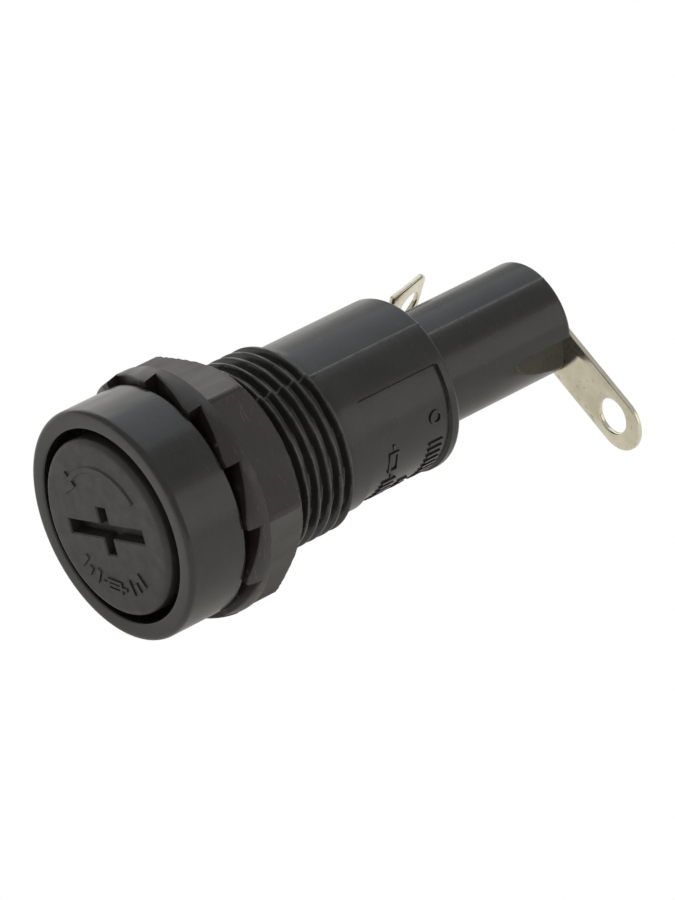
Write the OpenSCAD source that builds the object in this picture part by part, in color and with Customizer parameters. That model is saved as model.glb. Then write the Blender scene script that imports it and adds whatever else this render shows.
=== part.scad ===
// Panel fuse holder for one cartridge fuse, with a bayonet knob and solder lugs.
// The long axis runs along Y. The knob faces -Y and the panel lies against y = 0.

/* [Bezel] */
// Outside diameter of the round bezel
bezel_d = 15.05; // [14.6:0.05:18.1]
// Length of the bezel in front of the panel
bezel_len = 4.32; // [3.9:0.02:5.2]
// Radius on the bezel's front edge
bezel_edge_r = 0.35; // [0.2:0.05:0.6]
// Diameter of the recess that the knob's cap sits in
recess_d = 12.63; // [11.8:0.01:13.4]
// Depth of the recess
recess_depth = 3.15; // [2.7:0.05:3.4]

/* [Threaded neck] */
// Major diameter of the thread, for a 12.7 mm panel hole
thread_d = 12.5; // [12.3:0.1:15.0]
// Thread pitch, 28 turns to the inch
thread_pitch = 0.907; // [0.75:0.001:1.1]
// Distance from the panel face to the end of the thread
thread_len = 10.08; // [8.4:0.02:12.1]
// Plain stretch behind the bezel that fills the panel hole
neck_len = 2.5; // [2.4:0.1:3.5]

/* [Barrel and tube] */
// Outside diameter of the barrel behind the thread
barrel_d = 11.45; // [11.0:0.05:11.5]
// Length of the barrel
barrel_len = 9.05; // [7.6:0.05:10.9]
// Outside diameter of the rear tube
tube_d = 7.63; // [7.2:0.01:8.0]
// Length of the rear tube
tube_len = 11.24; // [10.4:0.02:13.5]
// Diameter of the chamber behind the bezel
chamber_d = 9.8; // [9.4:0.1:10.0]
// Thickness of the barrel's rear wall
step_wall = 1.0; // [0.8:0.1:1.5]
// Thickness of the tube's end wall
end_wall = 1.0; // [0.8:0.1:1.5]
// Angle of the mould's parting line
parting_angle = 70.5; // [0:0.5:180]
// Depth of the marking panel on the barrel
panel_depth = 0.25; // [0.1:0.05:0.35]

/* [Fuse] */
// Diameter of the fuse's end caps
fuse_d = 5.2; // [5.0:0.05:5.3]
// Overall length of the fuse
fuse_len = 20.0; // [18.0:0.1:21.0]
// Length of one end cap
ferrule_len = 5.0; // [4.2:0.1:6.0]
// Wall of an end cap
ferrule_wall = 0.25; // [0.15:0.05:0.35]
// Wall of the glass tube
glass_wall = 0.55; // [0.4:0.05:0.8]
// Diameter of the fuse wire
wire_d = 0.22; // [0.1:0.01:0.4]

/* [Knob] */
// How far the knob's face stands in front of the bezel
cap_proud = 0.33; // [0.1:0.01:0.8]
// Thickness of the knob's cap
cap_thick = 2.5; // [2.2:0.1:2.9]
// Ring gap between the cap and the recess
cap_gap = 0.56; // [0.3:0.02:0.8]
// Length of the long driver slot
slot_len = 7.4; // [6.2:0.1:8.9]
// Width of the driver slots
slot_w = 0.88; // [0.7:0.02:1.1]
// Length of the short driver slot
cross_len = 3.06; // [2.5:0.02:3.7]
// Depth of the driver slots
slot_depth = 0.95; // [0.6:0.05:1.3]
// Angle of the long slot
slot_angle = 21; // [0:1:180]
// Turn between release and lock
lock_turn = 60; // [45:1:70]
// Height of a bayonet lug along the axis
lug_h = 1.3; // [1.0:0.1:1.3]
// Angle that a bayonet lug covers
lug_arc = 40; // [30:1:45]
// Thickness of the ledge that holds the lugs
ledge_h = 1.0; // [0.8:0.1:1.1]

/* [Nut] */
// Width of the nut across its flats
nut_af = 14.0; // [13.8:0.1:16.8]
// Length of the nut
nut_len = 5.1; // [4.3:0.1:6.1]
// Thickness of the nut's round front flange
flange_t = 1.53; // [1.3:0.01:1.9]
// Number of locking teeth
tooth_count = 12; // [6:6:12]
// Height of a locking tooth
tooth_h = 0.88; // [0.6:0.02:1.0]
// Angle of one of the nut's corners
nut_angle = 12.6; // [0:0.1:60]

/* [Terminals] */
// Thickness of the terminal strip
strip_t = 0.35; // [0.3:0.01:0.45]
// Width of the end terminal's lug
end_lug_w = 3.9; // [3.3:0.1:4.7]
// Distance from the axis to the end lug's hole
end_hole_out = 8.45; // [7.6:0.05:10.2]
// Diameter of the end lug's hole
end_hole_d = 2.4; // [2.0:0.1:2.8]
// Direction of the end lug, below +X
end_lug_angle = -27; // [-90:1:90]
// Width of the side terminal's lug
side_lug_w = 4.1; // [3.4:0.1:4.9]
// Distance from the barrel's rear face to the side lug's hole
side_hole_out = 5.7; // [5.2:0.1:7.0]
// Diameter of the side lug's hole
side_hole_d = 1.86; // [1.5:0.02:2.2]
// Direction of the side terminal
side_angle = 171; // [150:1:200]
// Outward splay of the side lug
side_splay = 12; // [0:1:16]
// Width of the side terminal inside the barrel
side_neck_w = 2.05; // [1.6:0.05:2.4]

/* [Spring and plunger] */
// Outside diameter of the contact spring
spring_d = 4.2; // [3.6:0.1:4.4]
// Wire diameter of the contact spring
spring_wire_d = 0.42; // [0.3:0.02:0.46]
// Number of free turns
spring_turns = 4; // [3:0.5:4.5]

/* [Hidden] */
$fn = 96;
eps = 0.01;

// Clearances between pieces
running_gap = 0.05;
loose_gap = 0.1;
seat_gap = 0.02;
slot_gap = 0.03;

// Stations along the axis, from front to back
y_front = -bezel_len;
y_floor = y_front + recess_depth;
y_ledge = y_floor + ledge_h;
y_thread = thread_len;
y_step = thread_len + barrel_len;
y_end = y_step + tube_len;
y_cap = y_front - cap_proud;
y_cap_back = y_cap + cap_thick;
push_room = y_floor - y_cap_back;
y_lug = y_ledge + loose_gap;
y_lug_back = y_lug + lug_h;
y_inner_wall = y_end - end_wall;
y_track_end = y_lug_back + push_room + loose_gap;

// Knob, clip and fuse
chamber_r = chamber_d / 2;
lug_r = chamber_r + 0.5;
track_r = lug_r + loose_gap;
lug_side_gap = 2;
stem_r = chamber_r - loose_gap;
stem_len = 4.9;
stem_end = y_lug_back + stem_len;
pocket_depth = 3.5;
y_pocket = stem_end - pocket_depth;
cap_r = recess_d / 2 - cap_gap;
cap_edge_r = 0.42;
mark_r = cap_r - 1.9;
mark_w = 0.46;
mark_h = 0.1;
mark_start = 30;
mark_sweep = 99;
pin_r = 0.85;
pin_head_r = 1.7;
pin_head_h = 0.4;
pin_len = 3.0;
clip_wall = 0.25;
clip_cover = 0.9;
fuse_r = fuse_d / 2;
clip_r_in = fuse_r + seat_gap;
clip_r_out = clip_r_in + clip_wall;
pocket_r = clip_r_out + loose_gap;
y_clip = y_pocket + running_gap;
y_pin_head = y_clip + clip_wall + running_gap;
y_fuse = y_pin_head + pin_head_h + running_gap;
y_fuse_back = y_fuse + fuse_len;
clip_len = y_fuse + ferrule_len + clip_cover - y_clip;
clip_slots = 4;
clip_slot_w = 0.6;
glass_r = fuse_r - ferrule_wall - running_gap;
glass_bore_r = glass_r - glass_wall;
solder_h = 0.55;

// Tube, plunger, spring and rivet
tube_r = tube_d / 2;
barrel_r = barrel_d / 2;
plunger_r = fuse_r + 0.2;
tube_bore_r = plunger_r + running_gap;
funnel_h = 0.8;
plunger_face = 0.4;
plunger_skirt = 1.7;
y_plunger = y_fuse_back + seat_gap;
spring_mid_r = (spring_d - spring_wire_d) / 2;
rivet_r = 1.0;
rivet_bore_r = 0.55;
rivet_head_r = 2.4;
rivet_head_h = 0.4;
rivet_flange_r = 1.75;
rivet_flange_h = 0.4;
y_spring = y_plunger + plunger_face;
y_spring_back = y_inner_wall - rivet_head_h;

// Thread form
thread_r = thread_d / 2;
thread_depth = 0.6 * thread_pitch;
crest_flat = 0.2 * thread_pitch;
thread_count = floor((thread_len - neck_len) / thread_pitch);

// Nut
nut_corner_r = nut_af / sqrt(3);
nut_bore_r = thread_r + running_gap;
nut_face_r = 0.975 * nut_corner_r;
nut_chamfer = 0.21 * nut_len;
tooth_angle = 360 / tooth_count;
tooth_land = 4;
tooth_tilt = atan(tooth_h / (nut_corner_r * sin(tooth_angle - tooth_land)));

// Side terminal: distances from the axis, and along the lug from the barrel's rear face
side_r = chamber_r - 0.8;
side_shoulder = side_hole_out - 2.29;
side_lug_end = side_hole_out + 1.28;
side_corner_r = 0.65;
finger_r = clip_r_out + running_gap;
y_finger = stem_end + 1.6;

// Tube's relief beside the end terminal
relief_len = 4.85;
relief_tilt = 11;
relief_angle = 6;

// Turns a shape modelled along z so that z runs along +Y
module along_y() {
    rotate([-90, 0, 0]) children();
}

// Turns a shape about the axis to an angle measured from +X towards +Z
module at_angle(a) {
    rotate([0, 0, -a]) children();
}

// Points of a round corner, from angle a0 to a1
function arc_points(cx, cy, r, a0, a1, steps = 6) =
    [for (i = [0:steps]) [cx + r * cos(a0 + (a1 - a0) * i / steps), cy + r * sin(a0 + (a1 - a0) * i / steps)]];

// Part of a ring: inner radius, outer radius, from z0 to z1, from angle a0 over a sweep
module ring_sector(r0, r1, z0, z1, a0, sweep) {
    at_angle(a0 + sweep) rotate_extrude(angle = sweep)
        polygon([[r0, z0], [r1, z0], [r1, z1], [r0, z1]]);
}

// Outline of a bent strip: points along its middle, offset by half its thickness to each side
function unit(v) = v / norm(v);
function side_of(p, i) =
    let (
        before = i == 0 ? unit(p[1] - p[0]) : unit(p[i] - p[i - 1]),
        after = i == len(p) - 1 ? before : unit(p[i + 1] - p[i]),
        mean = unit(before + after),
        stretch = 1 / (mean * after)
    )
    [-mean[1], mean[0]] * stretch;
function strip_outline(p, t) = concat(
    [for (i = [0:len(p) - 1]) p[i] + side_of(p, i) * t / 2],
    [for (i = [len(p) - 1:-1:0]) p[i] - side_of(p, i) * t / 2]
);

// Crests of the thread as plain rings, each a flat crest between two slopes
function thread_points() = [
    for (i = [0:thread_count - 1])
        let (z = neck_len + i * thread_pitch, slope = (thread_pitch - 2 * crest_flat) / 2)
        each [
            [thread_r, z],
            [thread_r - thread_depth, z + slope],
            [thread_r - thread_depth, z + slope + crest_flat],
            [thread_r, z + 2 * slope + crest_flat]
        ]
];

module housing_outside() {
    bezel_r = bezel_d / 2;
    step_edge = 0.35;
    tube_edge = 0.35;
    rotate_extrude()
        polygon(concat(
            [[0, y_front]],
            arc_points(bezel_r - bezel_edge_r, y_front + bezel_edge_r, bezel_edge_r, -90, 0),
            [[bezel_r, -0.1], [bezel_r - 0.1, 0], [thread_r, 0]],
            thread_points(),
            [[thread_r, y_thread - 0.3], [barrel_r, y_thread]],
            arc_points(barrel_r - step_edge, y_step - step_edge, step_edge, 0, 90),
            [[tube_r, y_step]],
            arc_points(tube_r - tube_edge, y_end - tube_edge, tube_edge, 0, 90),
            [[0, y_end]]
        ));
}

module housing_bores() {
    translate([0, 0, y_front - eps]) cylinder(r = recess_d / 2, h = recess_depth + eps);
    translate([0, 0, y_floor - eps]) cylinder(r = chamber_r, h = y_step - step_wall - y_floor + eps);
    translate([0, 0, y_step - step_wall - eps])
        cylinder(r1 = tube_bore_r + funnel_h, r2 = tube_bore_r, h = funnel_h);
    translate([0, 0, y_step - step_wall - eps])
        cylinder(r = tube_bore_r, h = y_inner_wall - y_step + step_wall + eps);
    translate([0, 0, y_inner_wall - eps]) cylinder(r = rivet_r, h = end_wall + 2 * eps);
    for (side = [0, 180]) {
        ring_sector(chamber_r - eps, track_r, y_floor - eps, y_track_end,
            parting_angle + side - lug_arc / 2 - lug_side_gap, lug_arc + 2 * lug_side_gap);
        ring_sector(chamber_r - eps, track_r, y_ledge, y_track_end,
            parting_angle + side - lock_turn - lug_arc / 2 - lug_side_gap,
            lock_turn + lug_arc + 2 * lug_side_gap);
    }
}

module housing() {
    panel_start = y_thread + 1.76;
    panel_end = y_step - 0.8;
    panel_sweep = 124;
    color([0.10, 0.095, 0.09]) along_y() difference() {
        housing_outside();
        housing_bores();
        // shallow marking panel, centred square to the parting line
        ring_sector(barrel_r - panel_depth, barrel_r + 1, panel_start, panel_end,
            parting_angle - 90 - panel_sweep / 2, panel_sweep);
        // sloping relief beside the end terminal
        at_angle(relief_angle) translate([tube_r, 0, y_end - relief_len]) rotate([0, -relief_tilt, 0])
            cube([4, 6, 8]);
        // slot that the side terminal passes through
        at_angle(side_angle)
            translate([side_r - slot_gap, -side_neck_w / 2 - slot_gap, y_step - step_wall - 1])
            cube([strip_t + 2 * slot_gap, side_neck_w + 2 * slot_gap, step_wall + 2]);
    }
}

// One locking tooth's cut: a ramp that rises to a step at angle zero
module tooth_cut() {
    inner = nut_bore_r - 1;
    reach = nut_corner_r + 1;
    far = tooth_angle - tooth_land / 2;
    intersection() {
        translate([0, 0, -1]) linear_extrude(height = 1 + tooth_h + 0.5)
            polygon([[inner, 0], [reach, 0], [reach * cos(far), reach * sin(far)],
                [inner * cos(far), inner * sin(far)]]);
        rotate([0, 0, tooth_angle - tooth_land]) rotate([-tooth_tilt, 0, 0])
            translate([0, -2 * reach, -4]) cube([2 * reach, 3 * reach, 4]);
    }
}

module hex_nut() {
    rim_r = nut_corner_r + 0.02;
    hex_end = nut_len - nut_chamfer;
    color([0.16, 0.14, 0.13]) along_y() difference() {
        union() {
            cylinder(r1 = nut_face_r, r2 = rim_r, h = tooth_h);
            translate([0, 0, tooth_h]) cylinder(r = rim_r, h = flange_t - tooth_h);
            intersection() {
                translate([0, 0, tooth_h]) at_angle(nut_angle)
                    cylinder(r = nut_corner_r, h = nut_len - tooth_h, $fn = 6);
                union() {
                    cylinder(r = rim_r, h = hex_end);
                    translate([0, 0, hex_end]) cylinder(r1 = rim_r, r2 = nut_af / 2 - 0.25, h = nut_chamfer);
                }
            }
        }
        translate([0, 0, -eps]) cylinder(r = nut_bore_r, h = nut_len + 2 * eps);
        for (i = [0:tooth_count - 1])
            at_angle(nut_angle + i * tooth_angle) tooth_cut();
    }
}

module knob() {
    stem_chamfer = 0.3;
    color([0.12, 0.11, 0.105]) along_y() difference() {
        union() {
            rotate_extrude() polygon(concat(
                [[0, y_cap]],
                arc_points(cap_r - cap_edge_r, y_cap + cap_edge_r, cap_edge_r, -90, 0),
                [[cap_r, y_cap_back], [stem_r, y_cap_back], [stem_r, stem_end - stem_chamfer],
                    [stem_r - stem_chamfer, stem_end], [0, stem_end]]
            ));
            for (side = [0, 180])
                ring_sector(stem_r - 1, lug_r, y_lug, y_lug_back, parting_angle + side - lug_arc / 2, lug_arc);
            // raised arc that shows which way the knob turns
            ring_sector(mark_r - mark_w / 2, mark_r + mark_w / 2, y_cap - mark_h, y_cap + mark_h,
                slot_angle + mark_start, mark_sweep);
        }
        translate([0, 0, y_pocket]) cylinder(r = pocket_r, h = pocket_depth + eps);
        translate([0, 0, y_pin_head - pin_len]) cylinder(r = pin_r, h = pin_len);
        at_angle(slot_angle) translate([-slot_len / 2, -slot_w / 2, y_cap - eps])
            cube([slot_len, slot_w, slot_depth + eps]);
        at_angle(slot_angle) translate([-slot_w / 2, -cross_len / 2, y_cap - eps])
            cube([slot_w, cross_len, slot_depth + eps]);
    }
}

module clip_pin() {
    color("silver") along_y() union() {
        translate([0, 0, y_pin_head - pin_len]) cylinder(r = pin_r, h = pin_len + eps);
        translate([0, 0, y_pin_head]) cylinder(r = pin_head_r, h = pin_head_h);
    }
}

module contact_clip() {
    z_slot = y_fuse + 0.6;
    z_end = y_clip + clip_len;
    color("silver") along_y() difference() {
        translate([0, 0, y_clip]) cylinder(r = clip_r_out, h = clip_len);
        translate([0, 0, y_clip + clip_wall]) cylinder(r = clip_r_in, h = clip_len);
        translate([0, 0, z_end - clip_wall / 2])
            cylinder(r1 = clip_r_in, r2 = clip_r_in + clip_wall / 2, h = clip_wall / 2 + eps);
        translate([0, 0, y_clip - eps]) cylinder(r = pin_r + running_gap, h = clip_wall + 2 * eps);
        for (i = [0:clip_slots - 1])
            at_angle(side_angle + (i + 0.5) * 360 / clip_slots)
                translate([0, -clip_slot_w / 2, z_slot]) cube([clip_r_out + 1, clip_slot_w, z_end - z_slot + 1]);
    }
}

// End cap of the fuse; closed end at z = 0
module ferrule() {
    edge = 0.2;
    rotate_extrude() polygon([
        [0, 0], [fuse_r - edge, 0], [fuse_r, edge], [fuse_r, ferrule_len], [fuse_r - ferrule_wall, ferrule_len],
        [fuse_r - ferrule_wall, ferrule_wall], [0, ferrule_wall]
    ]);
}

module front_ferrule() {
    color([0.80, 0.78, 0.72]) along_y() translate([0, 0, y_fuse]) ferrule();
}

module rear_ferrule() {
    color([0.80, 0.78, 0.72]) along_y() translate([0, 0, y_fuse_back]) mirror([0, 0, 1]) ferrule();
}

module glass_tube() {
    inset = ferrule_wall + running_gap;
    color([0.80, 0.90, 0.92, 0.4]) along_y() difference() {
        translate([0, 0, y_fuse + inset]) cylinder(r = glass_r, h = fuse_len - 2 * inset);
        translate([0, 0, y_fuse]) cylinder(r = glass_bore_r, h = fuse_len);
    }
}

// Bead of solder in the bottom of an end cap
module solder_bead() {
    base_r = glass_bore_r - running_gap;
    cylinder(r1 = base_r, r2 = base_r / 2, h = solder_h);
}

module front_solder() {
    color([0.70, 0.70, 0.72]) along_y() translate([0, 0, y_fuse + ferrule_wall]) solder_bead();
}

module rear_solder() {
    color([0.70, 0.70, 0.72]) along_y() translate([0, 0, y_fuse_back - ferrule_wall])
        mirror([0, 0, 1]) solder_bead();
}

module fuse_wire() {
    inset = ferrule_wall + solder_h;
    color([0.85, 0.82, 0.75]) along_y() translate([0, 0, y_fuse + inset])
        cylinder(r = wire_d / 2, h = fuse_len - 2 * inset, $fn = 24);
}

module contact_plunger() {
    skirt_bore = spring_d / 2 + loose_gap;
    color("silver") along_y() difference() {
        translate([0, 0, y_plunger]) cylinder(r = plunger_r, h = plunger_face + plunger_skirt);
        translate([0, 0, y_plunger + plunger_face]) cylinder(r = skirt_bore, h = plunger_skirt + 1);
        translate([0, 0, y_plunger - eps]) cylinder(r = 0.8, h = 0.15 + eps);
    }
}

// Helix of round wire between the plunger and the rivet's head
module contact_spring() {
    wire_r = spring_wire_d / 2;
    gap = 0.02;
    z0 = y_spring + wire_r + gap;
    z1 = y_spring_back - wire_r - gap;
    per_turn = 20;
    sides = 8;
    closed_turns = 1;
    turns = spring_turns + 2 * closed_turns;
    closed_pitch = spring_wire_d * 1.08;
    free_pitch = (z1 - z0 - 2 * closed_turns * closed_pitch) / spring_turns;
    rings = round(turns * per_turn);
    // height along the wire: closed end turns at each end, open turns between
    function rise(t) = t < closed_turns ? t * closed_pitch
        : t > turns - closed_turns ? z1 - z0 - (turns - t) * closed_pitch
        : closed_turns * closed_pitch + (t - closed_turns) * free_pitch;
    points = [
        for (i = [0:rings], j = [0:sides - 1])
            let (t = turns * i / rings, a = 360 * t, b = 360 * j / sides, r = spring_mid_r + wire_r * cos(b))
            [r * cos(a), r * sin(a), z0 + rise(t) + wire_r * sin(b)]
    ];
    walls = [
        for (i = [0:rings - 1], j = [0:sides - 1])
            let (k = (j + 1) % sides)
            [i * sides + j, i * sides + k, (i + 1) * sides + k, (i + 1) * sides + j]
    ];
    first = [for (j = [sides - 1:-1:0]) j];
    last = [for (j = [0:sides - 1]) rings * sides + j];
    color([0.75, 0.75, 0.77]) along_y() polyhedron(points, concat([first], walls, [last]), convexity = 10);
}

// Hollow rivet that joins the spring's seat to the end terminal
module end_rivet() {
    z_out = y_end + strip_t;
    color([0.78, 0.76, 0.70]) along_y() difference() {
        union() {
            translate([0, 0, y_spring_back]) cylinder(r = rivet_head_r, h = rivet_head_h);
            translate([0, 0, y_spring_back]) cylinder(r = rivet_r - seat_gap, h = z_out - y_spring_back + eps);
            translate([0, 0, z_out]) cylinder(r1 = rivet_flange_r, r2 = rivet_flange_r - 0.35, h = rivet_flange_h);
        }
        translate([0, 0, y_spring_back - eps]) cylinder(r = rivet_bore_r, h = y_end - y_spring_back + 2);
    }
}

module end_terminal() {
    half_w = end_lug_w / 2;
    tip_out = end_hole_out + 0.5;
    disc_r = 2.5;
    color([0.78, 0.76, 0.70]) along_y() translate([0, 0, y_end]) difference() {
        union() {
            cylinder(r = disc_r, h = strip_t);
            at_angle(end_lug_angle) translate([0, -half_w, 0]) cube([tip_out, end_lug_w, strip_t]);
            at_angle(end_lug_angle) translate([tip_out, 0, 0]) cylinder(r = half_w, h = strip_t);
        }
        translate([0, 0, -eps]) cylinder(r = rivet_r, h = strip_t + 2 * eps);
        at_angle(end_lug_angle) translate([end_hole_out, 0, -eps])
            cylinder(r = end_hole_d / 2, h = strip_t + 2 * eps);
    }
}

// Outline of the side lug: a narrow neck, square shoulders and two rounded corners at its end
function side_lug_outline() =
    let (neck = side_neck_w / 2, half_w = side_lug_w / 2, c = side_corner_r)
    concat(
        [[0.1, -neck], [side_shoulder, -neck], [side_shoulder, -half_w]],
        arc_points(side_lug_end - c, c - half_w, c, -90, 0),
        arc_points(side_lug_end - c, half_w - c, c, 0, 90),
        [[side_shoulder, half_w], [side_shoulder, neck], [0.1, neck]]
    );

module side_terminal() {
    mid = side_r + strip_t / 2;
    finger_mid = finger_r + strip_t / 2;
    spine = [
        [mid, y_step + 0.5],
        [mid, y_finger + 5.0],
        [finger_mid + 0.35, y_finger + 1.2],
        [finger_mid, y_finger + 0.5],
        [finger_mid, y_finger - 0.3],
        [finger_mid + 0.7, y_finger - 1.2]
    ];
    color([0.78, 0.76, 0.70]) along_y() at_angle(side_angle) difference() {
        union() {
            rotate([90, 0, 0]) linear_extrude(height = side_neck_w, center = true)
                polygon(strip_outline(spine, strip_t));
            translate([side_r, 0, y_step]) rotate([0, side_splay, 0])
                translate([strip_t, 0, 0]) rotate([0, -90, 0]) linear_extrude(height = strip_t)
                polygon(side_lug_outline());
        }
        translate([side_r, 0, y_step]) rotate([0, side_splay, 0])
            translate([-1, 0, side_hole_out]) rotate([0, 90, 0]) cylinder(r = side_hole_d / 2, h = strip_t + 2);
    }
}

housing();
hex_nut();
knob();
clip_pin();
contact_clip();
front_ferrule();
rear_ferrule();
glass_tube();
front_solder();
rear_solder();
fuse_wire();
contact_plunger();
contact_spring();
end_rivet();
end_terminal();
side_terminal();
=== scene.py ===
import bpy, bmesh, math
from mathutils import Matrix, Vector


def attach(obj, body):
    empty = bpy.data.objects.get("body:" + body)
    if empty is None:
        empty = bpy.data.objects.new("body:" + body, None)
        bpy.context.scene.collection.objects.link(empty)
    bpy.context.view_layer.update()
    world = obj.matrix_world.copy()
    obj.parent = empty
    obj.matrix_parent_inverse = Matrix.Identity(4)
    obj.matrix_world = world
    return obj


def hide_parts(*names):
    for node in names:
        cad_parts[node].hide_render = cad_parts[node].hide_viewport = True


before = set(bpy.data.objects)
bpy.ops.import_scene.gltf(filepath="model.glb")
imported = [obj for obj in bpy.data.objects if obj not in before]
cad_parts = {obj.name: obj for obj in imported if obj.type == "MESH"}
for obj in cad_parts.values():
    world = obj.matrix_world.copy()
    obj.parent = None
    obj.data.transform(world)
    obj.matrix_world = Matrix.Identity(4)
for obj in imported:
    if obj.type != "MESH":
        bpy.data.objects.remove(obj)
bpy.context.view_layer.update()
print("stage: frame loaded")

mm = 0.001  # every size below is in millimetres and is turned to metres where a mesh is made


def srgb(hexCode):  # a hex colour as linear RGBA
    parts = [int(hexCode[i:i + 2], 16) / 255 for i in (1, 3, 5)]
    return tuple(c / 12.92 if c <= 0.04045 else ((c + 0.055) / 1.055) ** 2.4 for c in parts) + (1.0,)


def addNode(tree, kind, settings=None, links=None):  # one node with its settings, values and incoming links
    node = tree.nodes.new(kind)
    for key, value in (settings or {}).items():
        setattr(node, key, value)
    for socket, value in (links or {}).items():
        if isinstance(value, bpy.types.NodeSocket):
            tree.links.new(value, node.inputs[socket])
        else:
            node.inputs[socket].default_value = value
    return node


def polar(radius, y, degrees):  # angle from +X towards +Z, about the holder's axis
    a = math.radians(degrees)
    return Vector((radius * math.cos(a), y, radius * math.sin(a))) * mm


def arc(cx, cy, radius, start, end, steps=5):  # points of a round edge in a lathe profile
    return [(cx + radius * math.cos(math.radians(start + (end - start) * i / steps)),
             cy + radius * math.sin(math.radians(start + (end - start) * i / steps))) for i in range(steps + 1)]


def wrapped(degrees, period=360):  # signed distance from the nearest multiple of the period
    return (degrees + period / 2) % period - period / 2


def evenAngles(count, extra=()):  # round the axis, with more angles where an edge runs along it
    angles = sorted([360 * i / count for i in range(count)] + [e % 360 for e in extra])
    return [a for i, a in enumerate(angles) if i == 0 or a - angles[i - 1] > 0.02]


def lathe(profile, angles, shape=None, ring=False):  # turns (radius, y) points about the axis
    bm = bmesh.new()
    rows = []
    for radius, y in profile:
        if radius == 0:
            rows.append([bm.verts.new((0, y * mm, 0))])
        else:
            spots = [shape(radius, y, a) if shape else (radius, y) for a in angles]
            rows.append([bm.verts.new(polar(r, h, a)) for (r, h), a in zip(spots, angles)])
    pairs = list(zip(rows, rows[1:])) + ([(rows[-1], rows[0])] if ring else [])
    for low, high in pairs:
        for j in range(len(angles)):
            k = (j + 1) % len(angles)
            if len(low) == 1:
                bm.faces.new((low[0], high[j], high[k]))
            elif len(high) == 1:
                bm.faces.new((low[j], high[0], low[k]))
            else:
                bm.faces.new((low[j], high[j], high[k], low[k]))
    bmesh.ops.recalc_face_normals(bm, faces=bm.faces)
    return bm


def loft(loops, ring=False):  # quads from loop to loop, joined to a ring or capped at both ends
    bm = bmesh.new()
    rows = [[bm.verts.new(point) for point in loop] for loop in loops]
    for first, second in zip(rows, rows[1:] + rows[:1] if ring else rows[1:]):
        for i in range(len(first)):
            j = (i + 1) % len(first)
            bm.faces.new((first[i], first[j], second[j], second[i]))
    if not ring:
        bm.faces.new(rows[0])
        bm.faces.new(rows[-1][::-1])
    bmesh.ops.recalc_face_normals(bm, faces=bm.faces)
    return bm


def prism(outline, low, high, place):  # a flat outline raised from low to high, then put in place
    return loft([[place(u, v, level) for u, v in outline] for level in (low, high)])


def ringSector(inner, outer, low, high, start, sweep, steps=12):  # part of a ring about the axis
    corners = ((inner, low), (outer, low), (outer, high), (inner, high))
    return loft([[polar(r, y, start + sweep * i / steps) for r, y in corners] for i in range(steps + 1)])


def turned(radial, y, side, degrees):  # a point out from the axis and to one side, at an angle about it
    a = math.radians(degrees)
    return Vector((radial * math.cos(a) - side * math.sin(a), y,
        radial * math.sin(a) + side * math.cos(a))) * mm


def turnedBox(low, high, degrees):  # a box in (radial, y, side), at an angle about the axis
    corners = ((low[0], low[2]), (high[0], low[2]), (high[0], high[2]), (low[0], high[2]))
    return loft([[turned(r, y, side, degrees) for r, side in corners] for y in (low[1], high[1])])


def declare(obj, body, node):  # which body it rides on, and the CAD node it stands for
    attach(obj, body)
    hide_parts(node)


def makeObject(name, bm, material=None, sharp=32):
    mesh = bpy.data.meshes.new(name)
    bm.to_mesh(mesh)
    bm.free()
    obj = bpy.data.objects.new(name, mesh)
    bpy.context.scene.collection.objects.link(obj)
    finishMesh(obj, material, sharp)
    return obj


def finishMesh(obj, material=None, sharp=32):  # smooth faces that turn sharp at real edges
    mesh = obj.data
    mesh.polygons.foreach_set("use_smooth", [True] * len(mesh.polygons))
    mesh.set_sharp_from_angle(angle=math.radians(sharp))
    if material:
        mesh.materials.clear()
        mesh.materials.append(material)


def settle(obj):  # turns what the modifiers make into the object's own plain mesh
    deps = bpy.context.evaluated_depsgraph_get()
    mesh = bpy.data.meshes.new_from_object(obj.evaluated_get(deps))
    obj.modifiers.clear()
    obj.data = mesh


def combine(obj, others, operation):  # boolean with each of the others, which are then removed
    for other in others:
        modifier = obj.modifiers.new("combine", "BOOLEAN")
        modifier.operation = operation
        modifier.solver = "MANIFOLD"
        modifier.object = other
    settle(obj)
    for other in others:
        bpy.data.objects.remove(other)


def treeWith(name, inputs):  # an empty Geometry Nodes tree with named float inputs
    tree = bpy.data.node_groups.new(name, "GeometryNodeTree")
    for label, value in inputs.items():
        kind = "NodeSocketInt" if isinstance(value, int) else "NodeSocketFloat"
        tree.interface.new_socket(name=label, in_out="INPUT", socket_type=kind).default_value = value
    tree.interface.new_socket(name="Geometry", in_out="OUTPUT", socket_type="NodeSocketGeometry")
    return tree


def closeTree(tree, geometry, material):  # Realize Instances, then Set Material, then the output
    real = addNode(tree, "GeometryNodeRealizeInstances", links={0: geometry})
    painted = addNode(tree, "GeometryNodeSetMaterial",
        links={"Geometry": real.outputs[0], "Material": material})
    addNode(tree, "NodeGroupOutput", links={0: painted.outputs[0]})


def runTree(name, tree, values, material, sharp=32):  # runs a tree on an empty mesh and keeps the plain result
    obj = bpy.data.objects.new(name, bpy.data.meshes.new(name))
    bpy.context.scene.collection.objects.link(obj)
    modifier = obj.modifiers.new(name, "NODES")
    modifier.node_group = tree
    for item in tree.interface.items_tree:
        if item.in_out == "INPUT":
            modifier[item.identifier] = values[item.name]
    settle(obj)
    finishMesh(obj, material, sharp)
    return obj


def calc(tree, operation, a, b=0.0, c=None):  # a math node's result
    links = {0: a, 1: b}
    if c is not None:
        links[2] = c
    return addNode(tree, "ShaderNodeMath", {"operation": operation}, links).outputs[0]


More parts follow.
